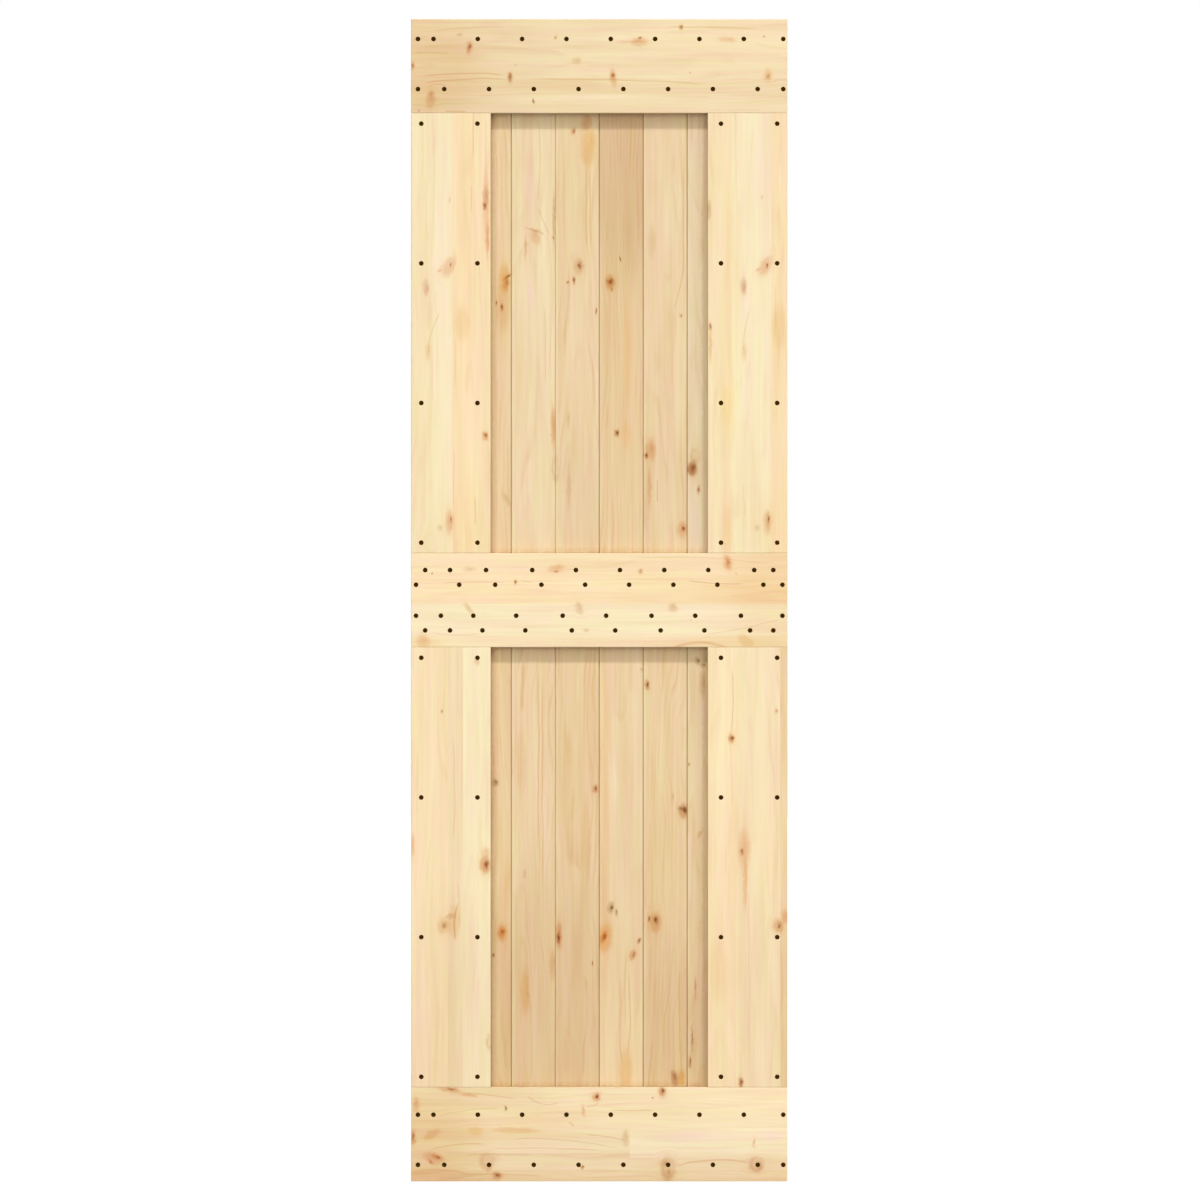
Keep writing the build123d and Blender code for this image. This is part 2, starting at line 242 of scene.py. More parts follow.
    "lower_right_stile": Board(tone=0.2, pith=5, depth=95, ring=8.0, figure=0.45, strips=(
        Strip(0.0, -0.03, 0.4), Strip(0.38, 0.02, 0.1), Strip(0.91, 0.45),
    ), marks=(
        Knot(239, -1300, 13, 7, RUST, 0.2), Knot(239, -1300, 8, 5.5, DARK), Knot(320, -1250, 4.5, 3, RED, 0.7),
        Knot(262, -1500, 38, 12, STREAK, 0.95), Knot(264, -1560, 48, 4, STREAK),
        Knot(258, -1505, 7.5, 3.5, DARK, 0.7), Knot(323, -1638, 14, 11, RUST, 0.55),
        Knot(324, -1639, 10, 8, RING, 0.4), Knot(325, -1640, 3.5, 2.5, PIN, 0.8),
        Knot(337, -1622, 12, 7, STREAK, 1.2), Knot(256, -1922, 10, 4.5, BROWN),
        Knot(215, -1720, 60, 20, AMBER, 0.5), Knot(305, -1500, 90, 18, YELLOW, 0.6),
        Knot(280, -1850, 270, 110, BLUSH, 0.6), Trace(241, -1175, 240, -1290, 2, 1.8, 0.6),
        Trace(238, -1310, 240, -1420, 0, 1.8, 0.35), Trace(270, -1580, 272, -1900, 0, 1.8, 0.25),
        Trace(322, -1180, 330, -1260, 2, 1.8, 0.35),
    )),
}

UPPER_CORE = (
    Board(0.5, 50, 60, 5.5),
    Board(0.55, 10, 40, 6.0),
    Board(0.6, 95, 50, 6.5, marks=(
        Knot(-171, -468, 27, 10, ORANGE), Knot(-169, -476, 13, 7, RUST, 0.6),
        Knot(-165, -464, 9, 2.2, DARK, 1.0, -45), Knot(-174, -520, 45, 14, AMBER), Knot(-186, -513, 4, 2, DARK),
        Knot(-176, -520, 8, 3.2, DARK), Knot(-168, -867, 16, 5, FAINT, 1.0, 25),
    )),
    Board(0.4, 25, 75, 8.0, sides=(1.0, 0.0), marks=(
        Knot(-116, -393, 15, 9, STREAK, 0.9, 25), Knot(-117, -381, 3, 16, FAINT, 1.5, -18),
        Knot(-133, -412, 24, 2.5, STREAK), Knot(-82, -362, 48, 2.4, FAINT, 1.5), Knot(-82, -395, 4, 2, RED),
        Knot(-83, -735, 36, 5, STREAK, 1.3), Knot(-79.5, -813, 24, 7, RING, 0.6), Knot(-127, -305, 60, 9, PINK),
        Knot(-124, -500, 26, 7, PINK), Knot(-129, -583, 48, 6, PINK), Trace(-108, -180, -109, -330, 2, 2.0, 0.4),
        Trace(-110, -342, -90, -390, 0, 1.5, 0.5), Trace(-98, -520, -97, -660, 1, 1.6, 0.35),
    )),
    Board(0.53, 55, 60, 7.5, sides=(0.0, 1.0), marks=(
        Knot(-47, -202, 6, 4, RED, 1.0, -25), Knot(-20, -232, 36, 15, ORANGE, 0.8),
        Knot(-12, -212, 16, 6, ORANGE, 0.5), Knot(-22, -184, 16, 10, STREAK), Knot(-37, -446, 15, 10, RED, 0.6),
        Knot(-36, -445, 5, 4, PIN, 0.7), Knot(-40, -870, 130, 60, BLUSH, 0.5), Knot(-46, -471, 6.5, 3.2, DARK),
        Knot(-57, -475, 3, 2.5, DARK), Knot(-6, -527, 5.5, 2.4, DARK), Knot(-79.5, -813, 24, 7, RING, 0.6),
        Knot(-55, -842, 42, 4, FAINT), Knot(-56, -725, 16, 4, FAINT), Trace(-24, -270, -23, -410, 1, 1.8, 0.6),
        Trace(-17, -270, -16, -410, 0, 1.6, 0.5),
    )),
    Board(0.7, 5, 45, 6.0, marks=(
        Knot(20, -475, 13, 9, RUST), Knot(18, -474, 5, 4, PIN, 0.6), Knot(22, -488, 5, 4, RED, 0.5),
        Knot(38, -432, 5.5, 1.6, DARK, 1.0, 15), Knot(32, -747, 7, 4.5, DARK), Knot(49, -750, 24, 9, WARM),
        Knot(45, -260, 215, 70, BLUSH, 1.15), Knot(52, -600, 100, 9, WARM),
    )),
    Board(0.53, 45, 85, 8.0, marks=(
        Knot(93, -778, 20, 9, STREAK, 1.3), Knot(85, -788, 5, 3.5, DARK), Knot(91, -845, 38, 4, STREAK),
        Trace(105, -832, 105, -876, 0, 1.5, 0.7), Knot(151, -922, 16, 11, STREAK, 1.1),
        Knot(152, -921, 5, 3.5, DARK), Knot(95, -400, 30, 8, FAINT, 0.6), Knot(114, -870, 130, 60, BLUSH, 0.4),
        Knot(148, -535, 4, 3, RED), Trace(137, -524, 153, -446, 2, 1.6, 0.4),
        Trace(152, -470, 153, -250, 0, 2.0, 0.35),
    )),
    Board(0.6, -25, 55, 6.5, marks=(
        Knot(178, -800, 50, 14, AMBER, 0.5), Knot(168, -812, 13, 9.5, BROWN),
        Knot(173, -790, 13, 10, RING, 0.6), Knot(180, -849, 9, 2.8, RED), Knot(174, -912, 60, 8, PINK),
        Knot(190, -330, 110, 16, CLEAR), Knot(178, -500, 600, 40, COOL, 1.1),
    )),
    Board(0.6, 65, 60, 6.0),
    Board(0.5, 35, 50, 5.5),
)

LOWER_CORE = (
    Board(0.6, 15, 55, 5.5),
    Board(0.5, 55, 60, 6.0),
    Board(0.7, 90, 50, 6.5, marks=(
        Knot(-188, -1380, 7, 6, MOSS, 1.2), Knot(-176, -1651, 17, 10, ORANGE),
        Knot(-176, -1651, 10, 7, RUST, 0.9), Knot(-192, -1693, 3.5, 2.5, DARK), Knot(-167, -1560, 60, 5, WARM),
        Knot(-180, -1880, 270, 70, BLUSH, 1.1),
    )),
    Board(0.57, 20, 65, 5.0, sides=(1.0, 0.2), marks=(
        Knot(-134, -1757, 44, 8, ORANGE, 0.85), Knot(-135, -1545, 9, 4, FAINT),
        Knot(-84, -1710, 28, 6, STREAK, 0.9), Knot(-119, -1840, 310, 70, BLUSH, 1.15),
        Knot(-143, -1340, 60, 5, AMBER, 0.7), Trace(-138, -1158, -140, -1250, 0, 5, 0.4),
        Trace(-110, -1170, -111, -1500, 2, 2.0, 0.5), Trace(-103, -1200, -102, -1560, 0, 2.0, 0.45),
        Knot(-92, -1400, 190, 4, PINK),
    )),
    Board(0.66, 60, 50, 6.0, sides=(0.2, 1.0), marks=(
        Knot(-73, -1654, 25, 6, STREAK, 1.4), Knot(-74, -1661, 12, 4, DARK), Knot(-7, -1392, 8, 5.5, RED, 1.15),
        Knot(-12, -1707, 4.5, 1.8, DARK), Knot(-25, -1475, 66, 9, AMBER, 0.7),
        Knot(-40, -1820, 300, 70, BLUSH, 1.15), Knot(-60, -1860, 50, 14, STREAK, 0.25),
    )),
    Board(0.52, 15, 80, 7.5, marks=(
        Knot(21, -1606, 11, 7, MOSS, 1.0, -15), Knot(22, -1607, 6, 3.5, DARK, 0.6, -15),
        Knot(31, -1615, 7, 3, MOSS), Knot(9, -1662, 28, 14, ORANGE, 1.1, -10),
        Knot(8, -1659, 12, 5.5, RUST, 1.0, -20), Knot(72, -1666, 6, 3.4, DARK, 1.0, -15),
        Knot(61, -1692, 10, 6, RUST, 0.8, -25), Knot(48, -1897, 38, 12, ORANGE, 0.7),
        Knot(77, -1176, 3, 3, PALE), Knot(40, -1620, 200, 60, BLUSH, 0.45), Knot(8, -1430, 330, 11, WARM, 0.8),
        Trace(38, -1735, 40, -1890, -3, 1.6, 0.5), Trace(55, -1725, 54, -1870, 3, 1.6, 0.5),
        Trace(47, -1680, 47, -1820, 0, 1.5, 0.35),
    )),
    Board(0.65, 50, 55, 5.0, marks=(
        Knot(87, -1203, 9, 5, DARK), Knot(153, -1431, 14, 9, DARK), Knot(148, -1427, 6, 4, MOSS, 1.0, 40),
        Knot(134, -1405, 8, 2.5, FAINT), Knot(101, -1632, 19, 12, RUST, 0.7), Knot(101, -1628, 5, 4, DARK),
        Knot(90, -1626, 4.5, 2.5, PIN), Knot(136, -1915, 15, 7, BROWN, 0.65, 10),
        Knot(149, -1913, 15, 7, ORANGE, 1.2), Trace(145, -1720, 148, -1900, -3, 2.0, 0.7),
        Knot(120, -1880, 250, 70, BLUSH, 1.15),
    )),
    Board(0.67, -15, 60, 6.0, marks=(
        Knot(187, -1200, 26, 6, FAINT, 1.6), Knot(178, -1160, 9, 5, MOSS), Knot(188, -1168, 6, 6, MOSS),
        Knot(162, -1347, 3, 2, PIN), Knot(182, -1473, 9, 3.5, STREAK, 1.0, -30),
        Knot(170, -1470, 60, 5, STREAK, 0.4), Knot(174, -1752, 22, 2.2, RED, 0.6),
        Knot(168, -1845, 27, 2.2, DARK, 0.6), Knot(164, -1885, 11, 3, DARK, 0.8),
        Knot(178, -1300, 420, 40, COOL, 0.75), Knot(178, -1420, 90, 40, CLEAR, 0.7),
        Knot(178, -1890, 170, 70, BLUSH, 1.2),
    )),
    Board(0.6, 65, 60, 6.0),
    Board(0.68, 35, 50, 5.5),
)

# Widths on a board, in millimetres.
TONGUE = 7.0            # how far a core board's tongue stands out at its right
BEVEL = 1.6             # the dark line along a core board's long edges
LINE = 0.4              # the dark line along a frame board's long edges and round a board's ends
ARRIS = (2.0, 0.5)      # how far from a side's own edges its dark line begins, and is full
# A painted highlight: the pale rim along a core board's left edge, beside the joint.
PAINTED_HIGHLIGHT_RIM = (5.5, 3.0)   # how far from a core board's left edge its pale rim begins, and is full
GRAIN_RELIEF = 0.12     # how high the grain stands

# How strong the dark line is: along a frame board's inner edges, where between the arrises it is also painted shade
# on the walls of the openings, between two core boards and on the leaf's outer sides. The painted highlight, a pale
# rim along a core board's left edge beside the joint, is this much paler.
FRAME_LINE_AND_SHADE, CORE_LINE, OUTER_LINE = 1.0, 0.5, 0.5
PAINTED_HIGHLIGHT_TONE = -0.16

# Where the wood of another stave, and of a patch, is read from, in millimetres.
STAVE_SHIFT = (900.0, 70.0, 25.0)
PATCH_SHIFT = (370.0, 61.0, 23.0)

# A knot's parts, in its own half sizes: what distances are multiplied by for its stain and for the
# grain that it pushes aside, where its heart lies, and at which distances the stain and the body
# begin and are full. The heart begins at its reach, and is full at the reach times the first number
# plus the second.
STAIN_SCALE, PUSH_SCALE = (0.42, 0.45, 0.0), (0.36, 0.5, 0.0)
HEART_PLACE = (0.12, 0.18, 0.0)
STAIN_FADE, BODY_FADE, HEART_FADE = (1.0, 0.1), (1.3, 0.55), (0.95, -0.45)

# The noises of the pine: how long and how wide their features are, in millimetres, and where each
# is read, so that no two are alike.
NOISES = {
    "wander": (420, 90, 1.7), "ripple": (75, 22, 5.1), "strength": (150, 20, 9.3), "streaks": (150, 5.5, 13.9),
    "bands": (300, 24, 17.2), "fibres": (16, 0.6, 23.4), "cast": (210, 20, 29.8), "mottle": (60, 7, 31.3),
}
# How far the first two move the rings, along, across and through the board, in millimetres.
WANDER, RIPPLE = (0.0, 44.0, 60.0), (0.0, 5.0, 5.0)
# How much of the way from pale to deep each of them goes.
TONES = {"streaks": 0.45, "bands": 0.7, "fibres": 0.12}
RING_TONE = 0.5

# What the colour of the wood is multiplied by.
GREEN_CAST, PINK_CAST = (0.982, 1.003, 0.91, 1.0), (1.004, 0.958, 0.974, 1.0)
WARM_STRIP = (1.06, 0.95, 0.86, 1.0)
# The dark line along board edges. On a frame board's inner sides, the walls of the openings, it is also painted
# shade.
EDGE_LINE_AND_SHADE = (0.50, 0.46, 0.38, 1.0)
END_GRAIN = (0.80, 0.72, 0.62, 1.0)

# The painted shades along the head of the upper and of the lower opening, and along the foot and the sides of both:
# how far each reaches, in millimetres, and how strong it is.
OPENING_SHADES = {
    "upper": ((22, 0.35),), "lower": ((22, 0.1),), "foot": ((2.5, 0.8), (10, 0.4)),
    "left": ((3.5, 0.8), (12, 0.65)), "right": ((10, 0.85),),
}
OPENING_WIDTH = 400     # past both its sides, so that its head and foot are shaded evenly

SCREW_SIDES = 12
SCREW_SEED = 7

# The lights that fill the shadows are a little warm and the key light a little cool. Together they are white.
WARM_LIGHT, COOL_LIGHT = (1.005, 1.0, 0.95), (0.99, 1.0, 1.1)

FLOOR_RADIUS, FLOOR_SIDES = 20.0, 64
FLOOR_GREY, FLOOR_GLOW = 0.4, 0.65
CAMERA_ASIDE, CAMERA_UP = 1.4 * MM, 0.4 * MM


# Settings that a user would change
class PineSettings(bpy.types.PropertyGroup):
    """The colours and the grain of the planed pine."""

    pale: bpy.props.FloatVectorProperty(
        name="Pale wood", description="Sapwood of the palest board", subtype="COLOR", size=4,
        min=0.0, max=1.0, default=(0.935, 0.803, 0.546, 1.0))
    deep: bpy.props.FloatVectorProperty(
        name="Deep wood", description="Wood of the deepest board", subtype="COLOR", size=4,
        min=0.0, max=1.0, default=(0.752, 0.510, 0.270, 1.0))
    core_level: bpy.props.FloatProperty(
        name="Core level", description="What the colour of the core's boards is multiplied by", min=0.5, max=1.5,
        default=0.972)
    grain: bpy.props.FloatProperty(
        name="Grain", description="Strength of the growth rings and streaks", min=0.0, max=2.0, default=1.0,
        subtype="FACTOR")


class ScrewSettings(bpy.types.PropertyGroup):
    """The countersunk screws."""

    head: bpy.props.FloatProperty(
        name="Head", description="Diameter of a screw's head", unit="LENGTH", min=0.004, max=0.012,
        default=8.8 * MM)
    proud: bpy.props.FloatProperty(
        name="Proud", description="How far a head stands out of the board's face", unit="LENGTH", min=0.0, max=0.002,
        default=0.12 * MM)
    coating: bpy.props.FloatVectorProperty(
        name="Coating", description="Dark bronze of the screws", subtype="COLOR", size=4,
        min=0.0, max=1.0, default=(0.040, 0.016, 0.0006, 1.0))


class StageSettings(bpy.types.PropertyGroup):
    """The floor, the light and the camera."""

    distance: bpy.props.FloatProperty(
        name="Camera distance", description="From the camera to the leaf's front", unit="LENGTH", min=3.0,
        max=40.0, default=12.0)
    frame_height: bpy.props.FloatProperty(
        name="Frame", description="Height of the picture at the leaf's front", unit="LENGTH", min=2.1, max=6.0,
        default=2.168)
    key: bpy.props.FloatProperty(
        name="Key light", description="Share of the front's light that comes from high above", min=0.0, max=2.0,
        default=0.322)
    window: bpy.props.FloatProperty(
        name="Window light", description="Share of the front's light that comes broadly from the right", min=0.0,
        max=2.0, default=0.245)
    side: bpy.props.FloatProperty(
        name="Side light", description="Share of the front's light that comes from the left", min=0.0,
        max=2.0, default=0.16)
    back: bpy.props.FloatProperty(
        name="Back light", description="Share of the back's light that comes broadly from behind", min=0.0,
        max=2.0, default=0.55)
    air: bpy.props.FloatProperty(
        name="Room light", description="Share of the light that comes from all round", min=0.0, max=2.0,
        default=0.19)


# Shader nodes
class Nodes:
    """Adds nodes to a node tree. Each method that adds one returns its output socket."""

    def __init__(self, tree):
        self.tree = tree

    def fill(self, node, inputs):
        """Links or sets a node's inputs, by name or by number."""
        for key, value in inputs.items():
            if isinstance(value, bpy.types.NodeSocket):
                self.tree.links.new(value, node.inputs[key])
            else:
                node.inputs[key].default_value = value

    def add(self, kind, inputs=(), out=0, **settings):
        node = self.tree.nodes.new(kind)
        for name, value in settings.items():
            setattr(node, name, value)
        self.fill(node, inputs if isinstance(inputs, dict) else dict(enumerate(inputs)))
        return node.outputs[out]

    def group(self, tree, inputs):
        """A group node's output sockets, by name."""
        return self.add("ShaderNodeGroup", inputs, node_tree=tree).node.outputs

    def math(self, operation, *values):
        return self.add("ShaderNodeMath", values, operation=operation)

    def vector(self, operation, *values, out=0):
        return self.add("ShaderNodeVectorMath", values, operation=operation, out=out)

    def scaled(self, vector, by):
        return self.add("ShaderNodeVectorMath", {0: vector, 3: by}, operation="SCALE")

    def length(self, vector):
        return self.vector("LENGTH", vector, out="Value")

    def dot(self, first, second):
        return self.vector("DOT_PRODUCT", first, second, out="Value")

    def noise(self, vector, detail=2.0, out="Fac"):
        return self.add("ShaderNodeTexNoise", {"Vector": vector, "Scale": 1.0, "Detail": detail}, out=out)

    def swing(self, vector):
        """Three noises about 0, as a vector."""
        return self.vector("SUBTRACT", self.noise(vector, out="Color"), (0.5, 0.5, 0.5))

    def rise(self, value, low, high):
        """A smooth step from 0 at low to 1 at high. It falls where high is the smaller."""
        inputs = {"Value": value, "From Min": low, "From Max": high}
        return self.add("ShaderNodeMapRange", inputs, interpolation_type="SMOOTHSTEP", clamp=False)

    def mix(self, share, first, second, blend="MIX"):
        inputs = {0: share, 6: first, 7: second}
        return self.add("ShaderNodeMix", inputs, out=2, data_type="RGBA", blend_type=blend)

    def multiply(self, colour, other, share=1.0):
        """The colour, multiplied by the other one as far as the share says."""
        return self.mix(share, colour, other, "MULTIPLY")

    def combine(self, x, y, z):
        return self.add("ShaderNodeCombineXYZ", (x, y, z))

    def split(self, vector):
        node = self.add("ShaderNodeSeparateXYZ", (vector,)).node
        return node.outputs[0], node.outputs[1], node.outputs[2]


def new_material(name):
    """A new material, the helper that adds its nodes, and its shader."""
    material = bpy.data.materials.new(name)
    material.use_nodes = True
    return material, Nodes(material.node_tree), material.node_tree.nodes["Principled BSDF"]


# What passes from mark to mark: the grain's coordinates, a colour that the wood's is multiplied by,
# and the tone.
CARRIED = {"Flow": "Vector", "Tint": "Color", "Tone": "Float"}


def node_group(name, outputs, **inputs):
    """A new shader node group, its input node's sockets and its Nodes helper.

    Its inputs are the point, what is carried and those that are named, kind by kind.
    """
    tree = bpy.data.node_groups.new(name, "ShaderNodeTree")
    own = {socket: kind for kind, names in inputs.items() for socket in names.split()}
    for direction, sockets in (("INPUT", {"Point": "Vector", **CARRIED, **own}), ("OUTPUT", outputs)):
        for socket, kind in sockets.items():
            tree.interface.new_socket(name=socket, in_out=direction, socket_type=f"NodeSocket{kind}")
    return tree, tree.nodes.new("NodeGroupInput").outputs, Nodes(tree)


def finish_group(nodes, results):
    """Links the results to the group's output sockets."""
    nodes.fill(nodes.tree.nodes.new("NodeGroupOutput"), results)


def knot_group():
    """One knot, added to what earlier marks of the board have given.

    A point's distance from the knot is measured in the knot's own half sizes, along the two
    directions in which it lies, which are given divided by those sizes. The body fades out
    past distance 1, the heart well inside it and off its centre, the stain at more than twice that.
    Round the knot the grain is pushed aside: a point nearby reads the grain from nearer the knot's
    middle line, so that the rings close up beside the knot and part in front of it.
    """
    tree, given, n = node_group(
        "knot", CARRIED, Vector="Place Along Across", Color="Stain Wood Heart", Float="Push Core")
    away = n.vector("SUBTRACT", given["Point"], given["Place"])
    own = n.combine(n.dot(away, given["Along"]), n.dot(away, given["Across"]), 0.0)
    stain = n.rise(n.length(n.vector("MULTIPLY", own, STAIN_SCALE)), *STAIN_FADE)
    body = n.rise(n.length(own), *BODY_FADE)
    heart = n.rise(n.length(n.vector("SUBTRACT", own, HEART_PLACE)), given["Core"],
                   n.math("MULTIPLY_ADD", given["Core"], *HEART_FADE))
    tint = n.multiply(given["Tint"], given["Stain"], stain)
    tint = n.multiply(tint, given["Wood"], body)
    tint = n.multiply(tint, given["Heart"], heart)
    near = n.rise(n.length(n.vector("MULTIPLY", own, PUSH_SCALE)), 1.0, 0.0)
    aside = n.vector("MULTIPLY", away, (0.0, 1.0, 0.0))
    push = n.scaled(aside, n.math("MULTIPLY", near, given["Push"]))
    finish_group(n, {"Flow": n.vector("SUBTRACT", given["Flow"], push), "Tint": tint, "Tone": given["Tone"]})
    return tree


def trace_group():
    """One dark line along the grain. It bows as a parabola between its ends and fades out there."""
    tree, given, n = node_group("trace", CARRIED, Vector="Place", Float="Half Slope Bow Width Depth")
    along, across, _ = n.split(n.vector("SUBTRACT", given["Point"], given["Place"]))
    share = n.math("DIVIDE", along, given["Half"])
    dip = n.math("MULTIPLY", n.math("MULTIPLY", share, share), given["Bow"])
    line = n.math("SUBTRACT", n.math("MULTIPLY", share, given["Slope"]), dip)
    off = n.math("DIVIDE", n.math("ABSOLUTE", n.math("SUBTRACT", across, line)), given["Width"])
    mask = n.math("MULTIPLY", n.rise(off, 1.0, 0.1), n.rise(n.math("ABSOLUTE", share), 1.1, 0.75))
    tone = n.math("MULTIPLY_ADD", mask, given["Depth"], given["Tone"])
    finish_group(n, {"Flow": given["Flow"], "Tint": given["Tint"], "Tone": tone})
    return tree


def patch_group():
    """A piece of another stave: inside its rectangle the grain is read from elsewhere."""
    tree, given, n = node_group("patch", CARRIED, Vector="Place Size", Float="Depth")
    off = n.vector("DIVIDE", n.vector("SUBTRACT", given["Point"], given["Place"]), given["Size"])
    along, across, _ = n.split(n.vector("ABSOLUTE", off))
    inside = n.math("LESS_THAN", n.math("MAXIMUM", along, across), 1.0)
    tone = n.math("MULTIPLY_ADD", inside, given["Depth"], given["Tone"])
    flow = n.vector("ADD", given["Flow"], n.scaled(PATCH_SHIFT, inside))
    finish_group(n, {"Flow": flow, "Tint": given["Tint"], "Tone": tone})
    return tree


def pine_group(settings):
    """Planed pine at a point, in millimetres along, across and through the board.

    The rings are circles round the pith, a line along the board that wanders a little: a point's
    distance from it, over the width of a ring, counts the years. Each year darkens slowly and ends
    sharply, and the years differ in strength. Long thin noise gives the streaks and the fibres.
    """
    tree, given, n = node_group(
        "pine", {"Color": "Color", "Roughness": "Float", "Height": "Float"},
        Vector="Pith Seed", Float="Ring Figure End Edge Warmth")

    def reading(name, point=given["Flow"]):
        """Where that noise is read for a point: the point over the size of the noise's features."""
        along, across, shift = NOISES[name]
        scaled = n.vector("MULTIPLY", point, (1 / along, 1 / across, 1 / across))
        return n.vector("ADD", n.vector("ADD", scaled, given["Seed"]), (shift, shift, shift))

    def centred(value, size):
        """Noise about 0, up to half that size each way."""
        return n.math("MULTIPLY", n.math("SUBTRACT", value, 0.5), size)

    bent = given["Flow"]
    for name, size in (("wander", WANDER), ("ripple", RIPPLE)):
        bent = n.vector("ADD", bent, n.vector("MULTIPLY", n.swing(reading(name)), size))
    from_pith = n.vector("MULTIPLY", n.vector("SUBTRACT", bent, given["Pith"]), (0.0, 1.0, 1.0))
    years = n.math("DIVIDE", n.length(from_pith), given["Ring"])
    season = n.math("FRACT", years)
    year = n.add("ShaderNodeTexWhiteNoise", {"W": n.math("FLOOR", years)}, noise_dimensions="1D")
    late = n.math("MULTIPLY", n.rise(season, 0.35, 0.86), n.rise(season, 1.0, 0.88))
    shown = n.math("MULTIPLY", n.rise(n.noise(reading("strength", given["Point"])), 0.42, 0.66), year)
    rings = n.math("MULTIPLY", late, n.math("MULTIPLY_ADD", shown, 0.9, 0.1))
    rings = n.math("MULTIPLY", rings, given["Figure"])

    noises = {name: n.noise(reading(name), 3.0 if name == "streaks" else 2.0) for name in TONES}
    tone = given["Tone"]
    for name, size in TONES.items():
        tone = n.math("ADD", tone, centred(noises[name], size * settings.grain))
    tone = n.math("MULTIPLY_ADD", rings, RING_TONE * settings.grain, tone)
    color = n.mix(tone, tuple(settings.pale), tuple(settings.deep))

    hue = n.math("ADD", centred(n.noise(reading("cast")), 1.2), n.noise(reading("mottle")))
    color = n.multiply(color, n.mix(n.rise(hue, 0.2, 0.8), GREEN_CAST, PINK_CAST))
    color = n.multiply(color, WARM_STRIP, given["Warmth"])
    color = n.multiply(color, given["Tint"])
    color = n.multiply(color, EDGE_LINE_AND_SHADE, given["Edge"])
    color = n.multiply(color, END_GRAIN, given["End"])

    rough = n.math("ADD", 0.52, centred(noises["streaks"], 0.2))
    height = n.math("ADD", centred(noises["fibres"], 1.0), n.math("MULTIPLY", rings, 0.5))
    finish_group(n, {"Color": color, "Roughness": rough, "Height": height})
    return tree


def board_axes(low, high):
    """The object axes along, across and through a board. The grain runs along its longest side."""
    along = 2 if high.z - low.z > high.x - low.x else 0
    return along, 2 - along, 1


def mark_inputs(mark, home, along):
    """A mark's own inputs. Home is the centre of the board that the marks were written for."""
    def local(x, z):
        place = (x - home.x / MM, z - home.z / MM)
        return place if along == 0 else place[::-1]

    if isinstance(mark, Knot):
        kind = mark.kind
        turn = math.radians(mark.turn)
        return {
            "Place": (*local(mark.x, mark.z), 0.0),
            "Along": (math.cos(turn) / mark.along, -math.sin(turn) / mark.along, 0.0),
            "Across": (math.sin(turn) / mark.across, math.cos(turn) / mark.across, 0.0),
            "Push": kind.push, "Core": kind.core,
            **{name: (*(1 + (part - 1) * mark.much for part in getattr(kind, name.lower())), 1.0)
               for name in ("Stain", "Wood", "Heart")},
        }
    start, stop = np.array(local(mark.x0, mark.z0)), np.array(local(mark.x1, mark.z1))
    middle = (start + stop) / 2
    half = (stop - start) / 2
    if isinstance(mark, Patch):
        return {"Place": (*middle, 0.0), "Size": (*np.abs(half), 1.0), "Depth": mark.tone}
    return {
        "Place": (middle[0], middle[1] + mark.bow / 2, 0.0), "Half": abs(half[0]),
        "Slope": half[1] * np.sign(half[0]), "Bow": mark.bow, "Width": mark.width, "Depth": mark.depth,
    }


def opening_shades(half, low, high):
    """The painted shade on a board of the core along the head, the foot and the sides of the opening, where the
    frame shades it.
    """
    left, right = (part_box(f"front_{half}_{hand}_stile") for hand in ("left", "right"))
    foot, head = left[0].z / MM, left[1].z / MM
    middle, tall = (foot + head) / 2, 0.9 * (head - foot)
    shades = [Knot(0, z, reach, OPENING_WIDTH, SHADE, much)
              for z, name in ((head, half), (foot, "foot")) for reach, much in OPENING_SHADES[name]]
    for x, name in ((left[1].x, "left"), (right[0].x, "right")):
        if low.x < x < high.x:
            shades += [Knot(x / MM, middle, tall, reach, SHADE, much) for reach, much in OPENING_SHADES[name]]
    return shades


def stave_values(n, spec, seed, share):
    """Three values, each even over a glued strip: its tone plus a half, where its wood is read and its warmth.

    Share is the point's place across the board, from 0 to 1.
    """
    ramp_node = n.add("ShaderNodeValToRGB", (share,)).node
    ramp = ramp_node.color_ramp
    ramp.interpolation = "CONSTANT"
    ramp.elements.remove(ramp.elements[-1])
    for index, strip in enumerate(spec.strips):
        element = ramp.elements[0] if index == 0 else ramp.elements.new(strip.start)
        element.position = strip.start
        element.color = (strip.tone + 0.5, (index * 0.37 + seed * 0.11) % 1.0, strip.warmth, 1.0)
    return n.split(ramp_node.outputs[0])


def edge_lines_and_shade(n, local, spec, core, half, margins):
    """How strongly a board's long edges are darkened at a point.

    Margins are how far its two long edges lie from the leaf's. An edge on the leaf's outer side is dark only near
    the side's arrises. A frame board's inner side, a wall of an opening, is half as dark between its arrises, and
    that is painted shade.
    """
    edge = 0.0
    arris = n.rise(n.math("ABSOLUTE", local[2]), *(half[2] - off for off in ARRIS))
    for side, margin, share in zip((-1.0, 1.0), margins, spec.sides):
        inner = margin > MM
        limit = half[1] - (TONGUE if core and inner and side > 0 else 0.0)
        reach = n.rise(n.math("MULTIPLY", local[1], side), limit - (BEVEL if core else LINE), limit - 0.1)
        if not inner:
            reach = n.math("MULTIPLY", reach, arris)
        elif not core:
            # Painted shade: a frame board's inner side, a wall of an opening, is half as dark between its arrises.
            reach = n.math("MULTIPLY", reach, n.math("MULTIPLY_ADD", arris, 0.5, 0.5))
        strength = share * (CORE_LINE if core else FRAME_LINE_AND_SHADE) if inner else OUTER_LINE
        edge = n.math("MULTIPLY_ADD", reach, strength, edge)
    return edge


